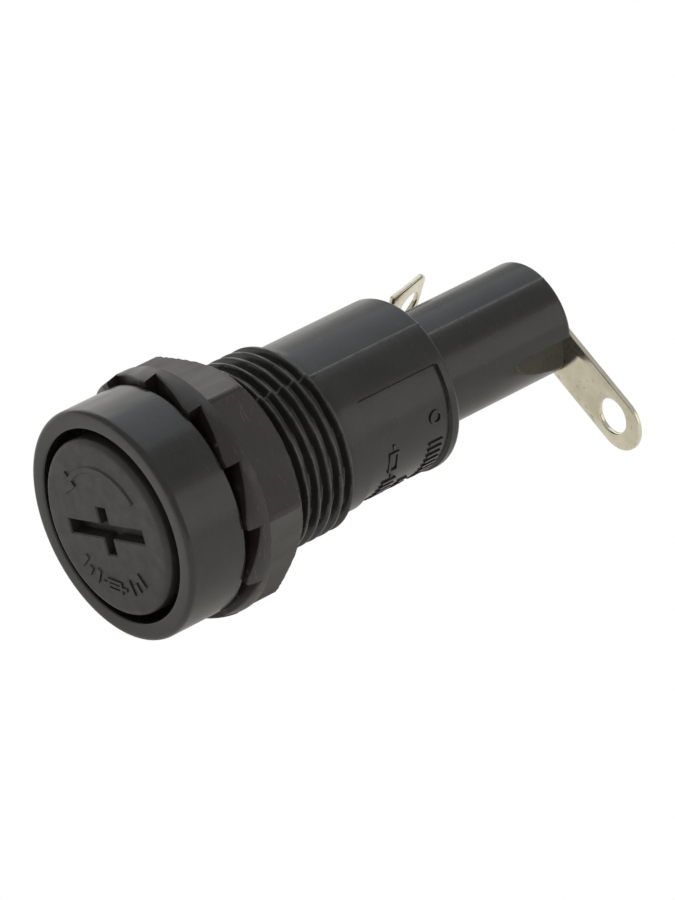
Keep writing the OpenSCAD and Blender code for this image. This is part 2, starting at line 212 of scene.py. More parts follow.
def newMaterial(name):
    material = bpy.data.materials.new(name)
    material.use_nodes = True
    tree = material.node_tree
    tree.nodes.clear()
    shader = addNode(tree, "ShaderNodeBsdfPrincipled")
    addNode(tree, "ShaderNodeOutputMaterial", links={"Surface": shader.outputs[0]})
    place = addNode(tree, "ShaderNodeTexCoord").outputs["Object"]
    return material, tree, shader, place


def noiseAt(tree, place, size, detail=3.0, stretch=None):  # noise whose blotches are about size millimetres
    if stretch:
        place = addNode(tree, "ShaderNodeMapping", links={"Vector": place, "Scale": stretch}).outputs[0]
    return addNode(tree, "ShaderNodeTexNoise", {"noise_dimensions": "3D"},
                   {"Vector": place, "Scale": 1 / (size * mm), "Detail": detail,
                       "Roughness": 0.55}).outputs["Fac"]


def remap(tree, value, low, high, fromLow=0.3, fromHigh=0.7):
    return addNode(tree, "ShaderNodeMapRange", links={
        "Value": value, "From Min": fromLow, "From Max": fromHigh, "To Min": low, "To Max": high}).outputs[0]


def mixColour(tree, factor, first, second):
    node = addNode(tree, "ShaderNodeMix", {"data_type": "RGBA"}, {0: factor})
    for index, value in ((6, first), (7, second)):
        if isinstance(value, bpy.types.NodeSocket):
            tree.links.new(value, node.inputs[index])
        else:
            node.inputs[index].default_value = value
    return node.outputs[2]


# pale paint on the mould's parting line and the thread's crests: a painted highlight where they catch light, with
# some rub wear
def seamAndCrestWearAndHighlight(tree, place, sizes):
    spot = addNode(tree, "ShaderNodeSeparateXYZ", links={0: place}).outputs
    radius = calc(tree, "POWER", calc(tree, "ADD", calc(tree, "MULTIPLY", spot[0], spot[0]),
                                      calc(tree, "MULTIPLY", spot[2], spot[2])), 0.5)
    beyondNut = remap(tree, spot[1], 0, 1, 2.0 * mm, 2.6 * mm)
    crest = remap(tree, radius, 0, sizes["crestWearAndHighlight"], sizes["crestFrom"] * mm, sizes["crestTo"] * mm)
    angle = calc(tree, "SUBTRACT", calc(tree, "ARCTAN2", spot[2], spot[0]), math.radians(sizes["seamAngle"]))
    offLine = calc(tree, "MULTIPLY", calc(tree, "ABSOLUTE", calc(tree, "SINE", angle)), radius)
    seam = remap(tree, offLine, sizes["seamWearAndHighlight"], 0, 0.02 * mm, 0.09 * mm)
    patchy = remap(tree, noiseAt(tree, place, 0.5), 0.35, 1.0, 0.38, 0.60)
    return calc(tree, "MULTIPLY", calc(tree, "MULTIPLY", calc(tree, "MAXIMUM", crest, seam), patchy), beyondNut)


def mouldedPlastic(name, sizes):
    material, tree, shader, place = newMaterial(name)
    blotch = noiseAt(tree, place, sizes["blotch"])
    grain = noiseAt(tree, place, sizes["grain"], 2.0)
    # drawn out along the axis, as the melt flowed
    flow = noiseAt(tree, place, sizes["flow"], 2.0, (1.0, 0.22, 1.0))
    scuff = noiseAt(tree, place, sizes["scuff"], 4.0, (1.0, 5.0, 1.0))
    colour = mixColour(tree, remap(tree, blotch, 0, 1), srgb(sizes["dark"]), srgb(sizes["light"]))
    marks = remap(tree, scuff, 0, sizes["scuffAmount"], 0.60, 0.74)
    # the parting line and thread crests are painted paler on top of the scuffs: a painted highlight, with some rub
    # wear
    if "seamAngle" in sizes:
        marks = calc(tree, "MAXIMUM", marks, seamAndCrestWearAndHighlight(tree, place, sizes))
    colour = mixColour(tree, marks, colour, srgb(sizes["paleMarkColour"]))
    tree.links.new(colour, shader.inputs["Base Color"])
    rough = remap(tree, flow, sizes["roughLow"], sizes["roughHigh"])
    tree.links.new(calc(tree, "ADD", rough, calc(tree, "MULTIPLY", marks, 0.25)), shader.inputs["Roughness"])
    height = calc(tree, "ADD", grain, calc(tree, "MULTIPLY", flow, sizes["flowHeight"]))
    bump = addNode(tree, "ShaderNodeBump", links={"Strength": sizes["bump"],
        "Distance": sizes["bumpHeight"] * mm,
                                                  "Height": height})
    tree.links.new(bump.outputs[0], shader.inputs["Normal"])
    shader.inputs["IOR"].default_value = sizes["ior"]
    return material


# Glass-filled thermoplastic, injection moulded in a polished steel tool: near-black with a satin skin, faint flow
# streaks along the axis and small handling scuffs.
housingPlastic = mouldedPlastic("mouldedThermoplasticSatin", {
    "dark": "#1d1c1a", "light": "#272624", "paleMarkColour": "#63625e", "scuffAmount": 0.16,
    # grain is coarser than the real 0.05 mm so that it shows
    "blotch": 2.4, "grain": 0.16, "flow": 0.9, "scuff": 0.8,
    # the seam and crest entries paint the parting line and thread crests paler, a painted highlight with some rub
    # wear
    "seamAngle": 70.5, "seamWearAndHighlight": 0.9, "crestFrom": 6.10, "crestTo": 6.23, "crestWearAndHighlight": 0.32,
    "roughLow": 0.17, "roughHigh": 0.28, "bump": 0.11, "bumpHeight": 0.010, "flowHeight": 0.8, "ior": 1.52})

# Unfilled nylon, injection moulded: a warmer black, with a slightly rougher skin.
nutPlastic = mouldedPlastic("mouldedNylonWarmBlack", {
    "dark": "#1f1a18", "light": "#2a2421", "paleMarkColour": "#5c534f", "scuffAmount": 0.6,
    "blotch": 2.0, "grain": 0.20, "flow": 1.1, "scuff": 0.7,
    "roughLow": 0.29, "roughHigh": 0.44, "bump": 0.28, "bumpHeight": 0.014, "flowHeight": 0.8, "ior": 1.53})

# The same thermoplastic from a spark-eroded cavity: matt, a little greyer, with a fine even grain.
knobPlastic = mouldedPlastic("mouldedThermoplasticMatt", {
    "dark": "#2a2725", "light": "#34302e", "paleMarkColour": "#57534f", "scuffAmount": 0.3,
    "blotch": 1.6, "grain": 0.14, "flow": 0.8, "scuff": 0.6,
    "roughLow": 0.40, "roughHigh": 0.54, "bump": 0.35, "bumpHeight": 0.014, "flowHeight": 0.4, "ior": 1.50})


def rolledMetal(name, sizes):
    material, tree, shader, place = newMaterial(name)
    cloud = noiseAt(tree, place, sizes["cloud"])
    lines = noiseAt(tree, place, sizes["lines"], 3.0, sizes["grainWay"])
    speck = noiseAt(tree, place, sizes["speck"], 2.0)
    colour = mixColour(tree, remap(tree, cloud, 0, 1), srgb(sizes["dark"]), srgb(sizes["light"]))
    colour = mixColour(tree, remap(tree, speck, 0, 0.5, 0.62, 0.72), colour, srgb(sizes["tarnish"]))
    tree.links.new(colour, shader.inputs["Base Color"])
    rough = remap(tree, calc(tree, "ADD", calc(tree, "MULTIPLY", cloud, 0.5),
        calc(tree, "MULTIPLY", lines, 0.5)),
                  sizes["roughLow"], sizes["roughHigh"])
    tree.links.new(rough, shader.inputs["Roughness"])
    bump = addNode(tree, "ShaderNodeBump", links={"Strength": sizes["bump"], "Distance": 0.01 * mm,
        "Height": lines})
    tree.links.new(bump.outputs[0], shader.inputs["Normal"])
    shader.inputs["Metallic"].default_value = 1.0
    return material


# Brass strip, stamped and then tin plated: a warm silver with soft reflections and faint rolling lines.
tinPlate = rolledMetal("tinPlatedBrassStamped", {
    "dark": "#d3cdb8", "light": "#ebe5d1", "tarnish": "#aaa189", "cloud": 1.8, "lines": 0.12, "speck": 0.35,
    "grainWay": (1.0, 1.0, 0.15), "roughLow": 0.11, "roughHigh": 0.24, "bump": 0.22})

# Brass, deep drawn and nickel plated: brighter and slightly yellow, with fine draw lines along the axis.
nickelPlate = rolledMetal("nickelPlatedBrassDrawn", {
    "dark": "#b9b4a6", "light": "#d2cdbf", "tarnish": "#9c937f", "cloud": 1.4, "lines": 0.10, "speck": 0.3,
    "grainWay": (1.0, 0.12, 1.0), "roughLow": 0.14, "roughHigh": 0.30, "bump": 0.18})

# Carbon spring wire, cold drawn: grey steel with lines along the wire.
springWire = rolledMetal("springSteelDrawn", {
    "dark": "#8d8e90", "light": "#a9aaac", "tarnish": "#77746f", "cloud": 0.9, "lines": 0.08, "speck": 0.25,
    "grainWay": (1.0, 1.0, 1.0), "roughLow": 0.22, "roughHigh": 0.38, "bump": 0.2})

# Mild steel, turned and zinc plated: bluish and bright, with fine rings from the lathe tool.
zincSteel = rolledMetal("zincPlatedSteelTurned", {
    "dark": "#a3a7ab", "light": "#c0c4c8", "tarnish": "#8b8f92", "cloud": 1.0, "lines": 0.10, "speck": 0.3,
    "grainWay": (0.2, 3.0, 0.2), "roughLow": 0.22, "roughHigh": 0.36, "bump": 0.25})

# Tin-lead solder, left as it set: dull grey with a soft grain.
setSolder = rolledMetal("solderAsSet", {
    "dark": "#8f9092", "light": "#a8a9ab", "tarnish": "#7b7b7a", "cloud": 0.5, "lines": 0.15, "speck": 0.2,
    "grainWay": (1.0, 1.0, 1.0), "roughLow": 0.38, "roughHigh": 0.55, "bump": 0.4})

# Tinned copper wire, drawn: thin, warm and bright.
tinnedWire = rolledMetal("tinnedCopperWireDrawn", {
    "dark": "#b3a896", "light": "#cbc2b2", "tarnish": "#a08a70", "cloud": 0.6, "lines": 0.08, "speck": 0.3,
    "grainWay": (1.0, 0.2, 1.0), "roughLow": 0.22, "roughHigh": 0.36, "bump": 0.15})


def drawnGlass():  # soda-lime glass tube, drawn: clear, with long faint draw lines and a cool tint in its wall
    material, tree, shader, place = newMaterial("sodaLimeGlassDrawn")
    lines = noiseAt(tree, place, 0.5, 2.0, (1.0, 0.05, 1.0))
    bump = addNode(tree, "ShaderNodeBump", links={"Strength": 0.12, "Distance": 0.01 * mm, "Height": lines})
    tree.links.new(bump.outputs[0], shader.inputs["Normal"])
    tree.links.new(mixColour(tree, lines, srgb("#eef6f5"), srgb("#f7fbfb")), shader.inputs["Base Color"])
    tree.links.new(remap(tree, lines, 0.01, 0.06), shader.inputs["Roughness"])
    shader.inputs["Transmission Weight"].default_value = 1.0
    shader.inputs["IOR"].default_value = 1.51
    return material


clearGlass = drawnGlass()
print("stage: materials made")

housing = {
    "bezelRadius": 7.525, "bezelFront": -4.32, "bezelEdge": 0.35, "rearEdge": 0.16, "mouthEdge": 0.16,
    "recessRadius": 6.315, "recessFloor": -1.17, "ledge": 1.0,
    "neckRadius": 6.25, "neckEnd": 2.5, "threadEnd": 10.08, "coreRadius": 5.5,
    "pitch": 0.907, "threadDepth": 0.50, "threadJog": 0.07, "crestShift": 0.335,
    "threadSides": 300, "threadRows": 116, "crestFlat": 0.05, "rootFlat": 0.36, "threadFade": 0.35,
    "reliefRows": 34,
    "barrelRadius": 5.725, "step": 19.13, "stepEdge": 0.36, "rootFillet": 0.18,
    "tubeRadius": 3.815, "tubeEnd": 30.37, "tubeEdge": 0.35,
    "chamberRadius": 4.9, "stepWall": 1.0, "tubeBore": 2.85, "funnel": 0.8, "endWall": 1.0, "endHole": 1.0,
    "partingAngle": 70.5, "flashHeight": 0.05, "flashWidth": 0.11,
    "panelStart": 11.84, "panelEnd": 18.33, "panelHalf": 62.0, "panelAngle": -19.5, "panelDepth": 0.25,
    "reliefStart": 25.52, "reliefTilt": 11.0, "reliefAngle": 6.0,
    "trackRadius": 5.5, "trackBack": 2.31, "lugArc": 40.0, "lugGap": 2.0, "lockTurn": 60.0,
    "stripInner": 4.1, "stripThick": 0.35, "stripWidth": 2.05, "stripAngle": 171.0, "slotGap": 0.03}


# what varies round the axis: panel, relief and the ridges on the parting line
def housingSkin(radius, y, degrees):
    h = housing
    if y > h["threadEnd"] + 0.05:
        offset = abs(wrapped(degrees - h["partingAngle"], 180))
        rise = max(0.0, 1 - math.radians(offset) * radius / h["flashWidth"])
        if radius > h["tubeRadius"] - 0.1:
            radius += h["flashHeight"] * min(1.0, rise * 1.4)
    if h["panelStart"] < y < h["panelEnd"] and abs(wrapped(degrees - h["panelAngle"])) < h["panelHalf"]:
        radius -= h["panelDepth"]
    below = wrapped(h["reliefAngle"] - degrees)
    if y > h["reliefStart"] and 0 < below < 80:
        flat = h["tubeRadius"] - (y - h["reliefStart"]) * math.tan(math.radians(h["reliefTilt"]))
        radius = min(radius, flat / math.cos(math.radians(below)))
    return radius, y


def housingProfile():
    h = housing
    points = [(0, h["bezelFront"]), (h["recessRadius"] * 0.6, h["bezelFront"])]
    points += [(h["bezelRadius"] - h["bezelEdge"] - 0.12, h["bezelFront"])]
    points += arc(h["bezelRadius"] - h["bezelEdge"], h["bezelFront"] + h["bezelEdge"], h["bezelEdge"], -90, 0,
        7)
    points += [(h["bezelRadius"], h["bezelFront"] + 0.5), (h["bezelRadius"], -0.3)]
    points += arc(h["bezelRadius"] - h["rearEdge"], -h["rearEdge"], h["rearEdge"], 0, 90, 4)
    points += [(h["neckRadius"] + 0.1, 0), (h["neckRadius"], 0.1), (h["neckRadius"], h["neckEnd"])]
    points += [(h["coreRadius"], h["neckEnd"] + 0.3), (h["coreRadius"], h["threadEnd"] - 0.4)]
    points += [(h["barrelRadius"] - 0.02, h["threadEnd"] - 0.05), (h["barrelRadius"], h["threadEnd"] + 0.06)]
    edges = [h["panelStart"] - 0.06, h["panelStart"] + 0.06, h["panelEnd"] - 0.06, h["panelEnd"] + 0.06]
    stations = sorted([h["threadEnd"] + 0.5, h["threadEnd"] + 1.1, 13, 14.5, 16, 17.2] + edges)
    points += [(h["barrelRadius"], y) for y in stations]
    points += [(h["barrelRadius"], h["step"] - h["stepEdge"] - 0.12)]
    points += arc(h["barrelRadius"] - h["stepEdge"], h["step"] - h["stepEdge"], h["stepEdge"], 0, 90, 7)
    points += [(h["barrelRadius"] - h["stepEdge"] - 0.25, h["step"]),
        (h["tubeRadius"] + h["rootFillet"] + 0.3, h["step"])]
    points += arc(h["tubeRadius"] + h["rootFillet"], h["step"] + h["rootFillet"], h["rootFillet"], 270, 180, 4)
    points += [(h["tubeRadius"], y) for y in (h["step"] + 0.6, 21.5, 23.5, h["reliefStart"] - 0.15)]
    last = h["tubeEnd"] - h["tubeEdge"]
    rows = h["reliefRows"]
    points += [(h["tubeRadius"], h["reliefStart"] + (last - h["reliefStart"]) * i / rows) for i in range(rows)]
    points += arc(h["tubeRadius"] - h["tubeEdge"], last, h["tubeEdge"], 0, 90, 6)
    points += [(2.0, h["tubeEnd"]), (0, h["tubeEnd"])]
    return points


def housingAngles():
    h = housing
    extra = []
    for side in (0, 180):
        extra += [h["partingAngle"] + side + d for d in (-1.7, -1.1, -0.6, -0.25, 0, 0.25, 0.6, 1.1, 1.7)]
    for side in (-1, 1):
        extra += [h["panelAngle"] + side * (h["panelHalf"] + d) for d in (-0.5, 0.5)]
    extra += [h["reliefAngle"] + d for d in (-0.5, -0.02, 0.5)] + [h["reliefAngle"] - 1.5 * i for i in range(1, h["reliefRows"])]
    return evenAngles(180, extra)


def threadTree(material):  # a closed sleeve whose surface is the thread, with the parting line's jog and ridge
    h = housing
    tree = treeWith("threadSleeve", {"Major radius": 1.0, "Pitch": 1.0, "Depth": 1.0, "Start": 0.0,
        "Length": 1.0,
                                     "Parting angle": 0.0, "Jog": 0.0, "Crest shift": 0.0, "Flash height": 0.0,
                                         "Flash width": 1.0})
    size = {s.name: s for s in addNode(tree, "NodeGroupInput").outputs if s.name}
    tube = addNode(tree, "GeometryNodeMeshCylinder", {"fill_type": "TRIANGLE_FAN"},
                   {"Vertices": h["threadSides"], "Side Segments": h["threadRows"], "Radius": size["Major radius"],
                       "Depth": size["Length"]})
    spot = addNode(tree, "ShaderNodeSeparateXYZ",
        links={0: addNode(tree, "GeometryNodeInputPosition").outputs[0]})
    x, z, level = spot.outputs[0], spot.outputs[1], spot.outputs[2]
    along = calc(tree, "ADD", level, calc(tree, "MULTIPLY", size["Length"], 0.5))
    angle = calc(tree, "ARCTAN2", z, x)
    fromParting = calc(tree, "SUBTRACT", angle, size["Parting angle"])
    half = calc(tree, "GREATER_THAN", calc(tree, "SINE", fromParting), 0.0)  # one half of the mould
    shift = calc(tree, "ADD", calc(tree, "MULTIPLY", half, size["Jog"]), size["Crest shift"])
    turns = calc(tree, "DIVIDE", calc(tree, "ADD", along, shift), size["Pitch"])
    phase = calc(tree, "FRACT", calc(tree, "ADD", turns, calc(tree, "DIVIDE", angle, 2 * math.pi)))
    fromCrest = calc(tree, "ABSOLUTE", calc(tree, "SUBTRACT", phase, 0.5))
    form = addNode(tree, "ShaderNodeMapRange", {"interpolation_type": "SMOOTHSTEP"}, {
        "Value": fromCrest, "From Min": h["crestFlat"], "From Max": h["rootFlat"],
        "To Min": 0.0, "To Max": 1.0}).outputs[0]
    left = calc(tree, "SUBTRACT", size["Length"], along)
    fade = addNode(tree, "ShaderNodeMapRange", {"interpolation_type": "SMOOTHSTEP"}, {
        "Value": left, "From Min": 0.0, "From Max": h["threadFade"] * mm,
        "To Min": 1.0, "To Max": 0.0}).outputs[0]
    drop = calc(tree, "MULTIPLY", calc(tree, "MAXIMUM", form, fade), size["Depth"])
    lineOff = calc(tree, "ABSOLUTE", calc(tree, "SINE", fromParting))
    ridge = addNode(tree, "ShaderNodeMapRange", {"interpolation_type": "SMOOTHSTEP"}, {
        "Value": calc(tree, "MULTIPLY", lineOff, size["Major radius"]), "From Min": 0.0,
            "From Max": size["Flash width"],
        "To Min": size["Flash height"], "To Max": 0.0}).outputs[0]
    radius = calc(tree, "ADD", calc(tree, "SUBTRACT", size["Major radius"], drop), ridge)
    scale = calc(tree, "DIVIDE", radius, size["Major radius"])
    placed = addNode(tree, "ShaderNodeCombineXYZ", links={
        0: calc(tree, "MULTIPLY", x, scale), 1: calc(tree, "ADD", along, size["Start"]),
        2: calc(tree, "MULTIPLY", z, scale)})
    moved = addNode(tree, "GeometryNodeSetPosition", links={"Geometry": tube.outputs[0],
        "Position": placed.outputs[0]})
    flipped = addNode(tree, "GeometryNodeFlipFaces", links={0: moved.outputs[0]})
    closeTree(tree, flipped.outputs[0], material)
    return tree


def markTree(material):  # short raised bars in rows round the panel, each row a run of instances
    tree = treeWith("panelBars", {"Count": 8, "Step angle": 0.1, "First angle": 0.0, "Row": 0.01,
        "Radius": 0.005,
                                  "Bar length": 0.001, "Bar width": 0.0002, "Bar height": 0.0002})
    size = {s.name: s for s in addNode(tree, "NodeGroupInput").outputs if s.name}
    bar = addNode(tree, "GeometryNodeMeshCube", links={
        "Size": addNode(tree, "ShaderNodeCombineXYZ", links={
            0: size["Bar height"], 1: size["Bar length"], 2: size["Bar width"]}).outputs[0]})
    line = addNode(tree, "GeometryNodeMeshLine", links={"Count": size["Count"]})
    index = addNode(tree, "GeometryNodeInputIndex").outputs[0]
    angle = calc(tree, "ADD", calc(tree, "MULTIPLY", index, size["Step angle"]), size["First angle"])
    spots = addNode(tree, "GeometryNodeSetPosition", links={
        "Geometry": line.outputs[0],
        "Position": addNode(tree, "ShaderNodeCombineXYZ", links={
            0: calc(tree, "MULTIPLY", calc(tree, "COSINE", angle), size["Radius"]), 1: size["Row"],
            2: calc(tree, "MULTIPLY", calc(tree, "SINE", angle), size["Radius"])}).outputs[0]})
    turn = addNode(tree, "ShaderNodeCombineXYZ", links={1: calc(tree, "MULTIPLY", angle, -1.0)})
    many = addNode(tree, "GeometryNodeInstanceOnPoints", links={
        "Points": spots.outputs[0], "Instance": bar.outputs[0], "Rotation": turn.outputs[0]})
    closeTree(tree, many.outputs[0], material)
    return tree


def onPanel(u, v, height):  # flat mark coordinates laid on the panel's floor
    h = housing
    floor = h["barrelRadius"] - h["panelDepth"]
    return polar(floor + height, v, math.degrees(u / floor))


def ringOutline(cx, cy, outer, inner, steps=18):  # a ring as one open band, cut at its start
    there = [(cx + outer * math.cos(a), cy + outer * math.sin(a)) for a in
             [2 * math.pi * i / steps for i in range(steps)]]
    back = [(cx + inner * math.cos(a), cy + inner * math.sin(a)) for a in
            [2 * math.pi * i / steps for i in range(steps)]]
    return there, back


def bandPrism(outer, inner, low, high, place):  # a raised closed band between two loops of the same count
    sides = ((outer, low), (outer, high), (inner, high), (inner, low))
    return loft([[place(u, v, level) for u, v in loop] for loop, level in sides], ring=True)


def rectangle(cx, cy, width, height):
    return [(cx - width / 2, cy - height / 2), (cx + width / 2, cy - height / 2),
            (cx + width / 2, cy + height / 2), (cx - width / 2, cy + height / 2)]


# the plain electrical sign for a fuse: a box on a line
def fuseSign(place, cx, cy, width, height, line, rise, name):
    outer = rectangle(cx, cy, width, height)
    inner = rectangle(cx, cy, width - 2 * line, height - 2 * line)
    parts = [makeObject(name + "Box", bandPrism(outer, inner, -0.08, rise, place))]
    parts.append(makeObject(name + "Line", prism(rectangle(cx, cy, width * 1.7, line), -0.08, rise * 0.9,
        place)))
    return parts


def buildHousing():
    h = housing
    body = makeObject("housingBody", lathe(housingProfile(), housingAngles(), housingSkin), housingPlastic)
    start = h["neckEnd"] - 0.15
    sleeve = runTree("threadedNeck", threadTree(housingPlastic), {
        "Major radius": h["neckRadius"] * mm, "Pitch": h["pitch"] * mm, "Depth": h["threadDepth"] * mm,
        "Start": start * mm, "Length": (h["threadEnd"] - start + 0.02) * mm,
        "Parting angle": math.radians(h["partingAngle"]), "Jog": h["threadJog"] * mm,
        "Crest shift": h["crestShift"] * mm,
        "Flash height": h["flashHeight"] * mm, "Flash width": h["flashWidth"] * mm * 1.2}, housingPlastic)
    print("stage: thread sleeve", len(sleeve.data.polygons), "faces")
    # two rows of raised bars and a fuse sign stand in the marking panel
    bars = markTree(housingPlastic)
    floor = h["barrelRadius"] - h["panelDepth"]
    common = {"Radius": (floor - 0.02) * mm, "Bar height": 0.26 * mm}
    rows = [("rowNearThread", 7, 5.4, -58.0, 13.75, 1.1, 0.2), ("rowMiddle", 5, 5.4, -58.0, 15.35, 0.7, 0.2),
            ("rowNearStep", 9, 5.4, -52.0, 17.25, 1.1, 0.2)]
    marks = []
    for name, count, step, first, row, length, width in rows:
        marks.append(runTree(name, bars, {
            "Count": count, "Step angle": math.radians(step), "First angle": math.radians(first),
                "Row": row * mm,
            "Bar length": length * mm, "Bar width": width * mm, **common}, housingPlastic))
    marks += fuseSign(onPanel, math.radians(-8) * floor, 13.75, 1.5, 0.8, 0.17, 0.11, "panelSign")
    outer, inner = ringOutline(math.radians(10) * floor, 17.25, 0.5, 0.3)
    marks.append(makeObject("panelRing", bandPrism(outer, inner, -0.08, 0.11, onPanel)))
    combine(body, [sleeve] + marks, "UNION")
    # the bores, the bayonet tracks and the side terminal's slot
    m = h["mouthEdge"]
    front, floorY = h["bezelFront"], h["recessFloor"]
    bore = [(0, front - 1), (h["recessRadius"] + 0.6, front - 1), (h["recessRadius"] + m + 0.05, front - 0.01)]
    bore += arc(h["recessRadius"] + m, front + m, m, 270, 180, 5)
    bore += [(h["recessRadius"], floorY - 0.15), (h["recessRadius"] - 0.15, floorY),
        (h["chamberRadius"] + 0.1, floorY),
             (h["chamberRadius"], floorY + 0.1), (h["chamberRadius"], h["step"] - h["stepWall"]),
             (h["tubeBore"] + h["funnel"], h["step"] - h["stepWall"]),
             (h["tubeBore"], h["step"] - h["stepWall"] + h["funnel"]),
             (h["tubeBore"], h["tubeEnd"] - h["endWall"]), (h["endHole"], h["tubeEnd"] - h["endWall"]),
             (h["endHole"], h["tubeEnd"] + 1), (0, h["tubeEnd"] + 1)]
    cutters = [makeObject("boreCutter", lathe(bore, evenAngles(144)))]
    wide = h["lugArc"] + 2 * h["lugGap"]
    for side in (0, 180):
        start = h["partingAngle"] + side - wide / 2
        inner = h["chamberRadius"] - 0.3
        cutters.append(makeObject("entryCutter", ringSector(inner, h["trackRadius"], floorY - 0.05,
            h["trackBack"], start,
                                                            wide)))
        cutters.append(makeObject("trackCutter", ringSector(inner, h["trackRadius"], floorY + h["ledge"],
            h["trackBack"],
                                                            start - h["lockTurn"], h["lockTurn"] + wide, 24)))
    g = h["slotGap"]
    cutters.append(makeObject("slotCutter", turnedBox(
        (h["stripInner"] - g, h["step"] - h["stepWall"] - 1, -h["stripWidth"] / 2 - g),
        (h["stripInner"] + h["stripThick"] + g, h["step"] + 1, h["stripWidth"] / 2 + g), h["stripAngle"])))
    combine(body, cutters, "DIFFERENCE")
    finishMesh(body, housingPlastic, 28)
    declare(body, "holder", "housing")
    print("stage: housing", len(body.data.polygons), "faces")


buildHousing()

nut = {
    "acrossFlats": 14.0, "length": 5.1, "flange": 1.53, "bore": 6.3, "toothHeight": 0.88, "teeth": 12,
    "cornerAngle": 12.6, "toothLand": 4.0, "faceScale": 0.975, "cornerRound": 0.38, "rearChamfer": 1.07,
        "edge": 0.09}


def nutRadius(degrees):  # a hexagon with a small round at each corner
    n = nut
    fromCorner = math.radians(abs(wrapped(degrees - n["cornerAngle"], 60)))
    corner = n["acrossFlats"] / math.sqrt(3)
    centre = corner - n["cornerRound"] / math.cos(math.pi / 6)
    across = centre * math.sin(fromCorner)
    if across < n["cornerRound"] / 2 and centre * math.tan(fromCorner) < n["cornerRound"] / 2:
        return centre * math.cos(fromCorner) + math.sqrt(n["cornerRound"] ** 2 - across ** 2)
    return n["acrossFlats"] / 2 / math.cos(math.pi / 6 - fromCorner)


def toothDepth(radius, degrees):  # each tooth is a ramp that ends in a step at a corner's or a flat's middle
    n = nut
    span = 360 / n["teeth"]
    fall = (n["cornerAngle"] - degrees) % span
    if fall > span - n["toothLand"] or fall < 0.35:
        return 0.0
    corner = n["acrossFlats"] / math.sqrt(3)
    tilt = n["toothHeight"] / (corner * math.sin(math.radians(span - n["toothLand"])))
    return tilt * radius * math.sin(math.radians(span - n["toothLand"] - fall))


def nutShape(radius, y, degrees):
    n = nut
    corner = n["acrossFlats"] / math.sqrt(3)
    if y < 0.3:  # the toothed front face moves back where a ramp is cut, and its rim follows the cone
        depth = toothDepth(radius, degrees)
        if radius > n["faceScale"] * corner - 0.2:
            radius += corner * (1 - n["faceScale"]) * depth / n["toothHeight"]
        return radius, y + depth
    if y > n["flange"] + 0.04 and radius > n["bore"] + 0.3:
        radius = min(radius, nutRadius(degrees))
    return radius, y


def buildNut():
    n = nut
    corner = n["acrossFlats"] / math.sqrt(3) + 0.02
    face, e = n["faceScale"] * corner, n["edge"]
    rim = lambda y: face + (corner - face) * min(1.0, y / n["toothHeight"])
    profile = [(n["bore"], 1.2), (n["bore"], e), (n["bore"] + e, 0), (n["bore"] + 0.6, 0), (face - 0.4, 0)]
    profile += [(face - e, 0), (rim(0.04) - 0.02, 0.04), (rim(0.1), 0.1)]
    profile += [(rim(1.05), 1.05), (corner, 1.15), (corner, n["flange"] - 0.25)]
    profile += arc(corner - 0.06, n["flange"] - 0.06, 0.06, 0, 90, 3)
    flat = n["acrossFlats"] / 2
    profile += [(corner - 0.1, n["flange"] + 0.05)]
    back = n["length"] - n["rearChamfer"]
    profile += [(corner, n["flange"] + 0.12)] + [(corner, back * k / 4 + n["flange"] * (1 - k / 4)) for k in (1,
        2, 3)]
    steps = 8
    profile += [(corner + (flat - 0.25 - corner) * k / steps,
        back + n["rearChamfer"] * k / steps) for k in range(steps)]
    profile += [(flat - 0.31, n["length"] - 0.02), (flat - 0.4, n["length"]), (n["bore"] + 0.45, n["length"])]
    profile += [(n["bore"] + 0.3, n["length"] - 0.0), (n["bore"], n["length"] - 0.3)]
    extra = []
    for k in range(n["teeth"]):
        step = n["cornerAngle"] + 30 * k
        extra += [step + d for d in (0.25, 0.0, -0.3, -0.4, -0.9)] + [step + n["toothLand"] + d for d in (-0.3,
            0, 0.3)]
    for k in range(6):
        extra += [n["cornerAngle"] + 60 * k + d for d in (-1.8, -1.35, -0.9, -0.45, 0, 0.45, 0.9, 1.35, 1.8)]
    body = makeObject("lockingNut", lathe(profile, evenAngles(180, extra), nutShape, ring=True), nutPlastic, 24)
    declare(body, "nut", "hex_nut")
    print("stage: nut", len(body.data.polygons), "faces")


buildNut()

knob = {
    "face": -4.65, "capRadius": 5.755, "capEdge": 0.42, "capBack": -2.15, "stemRadius": 4.8, "stemEnd": 6.13,
    "lugRadius": 5.4, "lugFront": -0.07, "lugBack": 1.23, "lugArc": 40.0, "lugAngle": 70.5,
    "pocketRadius": 2.97, "pocket": 2.63, "pinRadius": 0.85, "pinFront": -0.02,
    "slotAngle": 21.0, "slotLength": 7.4, "slotWidth": 0.88, "crossLength": 3.06, "slotDepth": 0.95,
        "slotDrop": 0.2, "slotFlare": 0.09,
    "arrowRadius": 3.855, "arrowWidth": 0.46, "arrowStart": 51.0, "arrowEnd": 150.0, "arrowTip": 171.0,
    "markRise": 0.1}


def onFace(u, v, height):  # flat mark coordinates on the knob's face, seen from the front
    return Vector((u, knob["face"] - height, v)) * mm


def polarOutline(radius, start, end, steps):
    return [(radius * math.cos(math.radians(start + (end - start) * i / steps)),
             radius * math.sin(math.radians(start + (end - start) * i / steps))) for i in range(steps + 1)]


# a raised strip with sloped sides between two lines
def stripPrism(outer, inner, low, high, place, eased=0.09):
    loops = []
    for (ou, ov), (iu, iv) in zip(outer, inner):
        width = math.hypot(iu - ou, iv - ov)
        du, dv = (iu - ou) / width * eased, (iv - ov) / width * eased
        section = ((ou, ov, low), (ou, ov, high * 0.1), (ou + du, ov + dv, high), (iu - du, iv - dv, high),
                   (iu, iv, high * 0.1), (iu, iv, low))
        loops.append([place(*point) for point in section])
    return loft(loops)


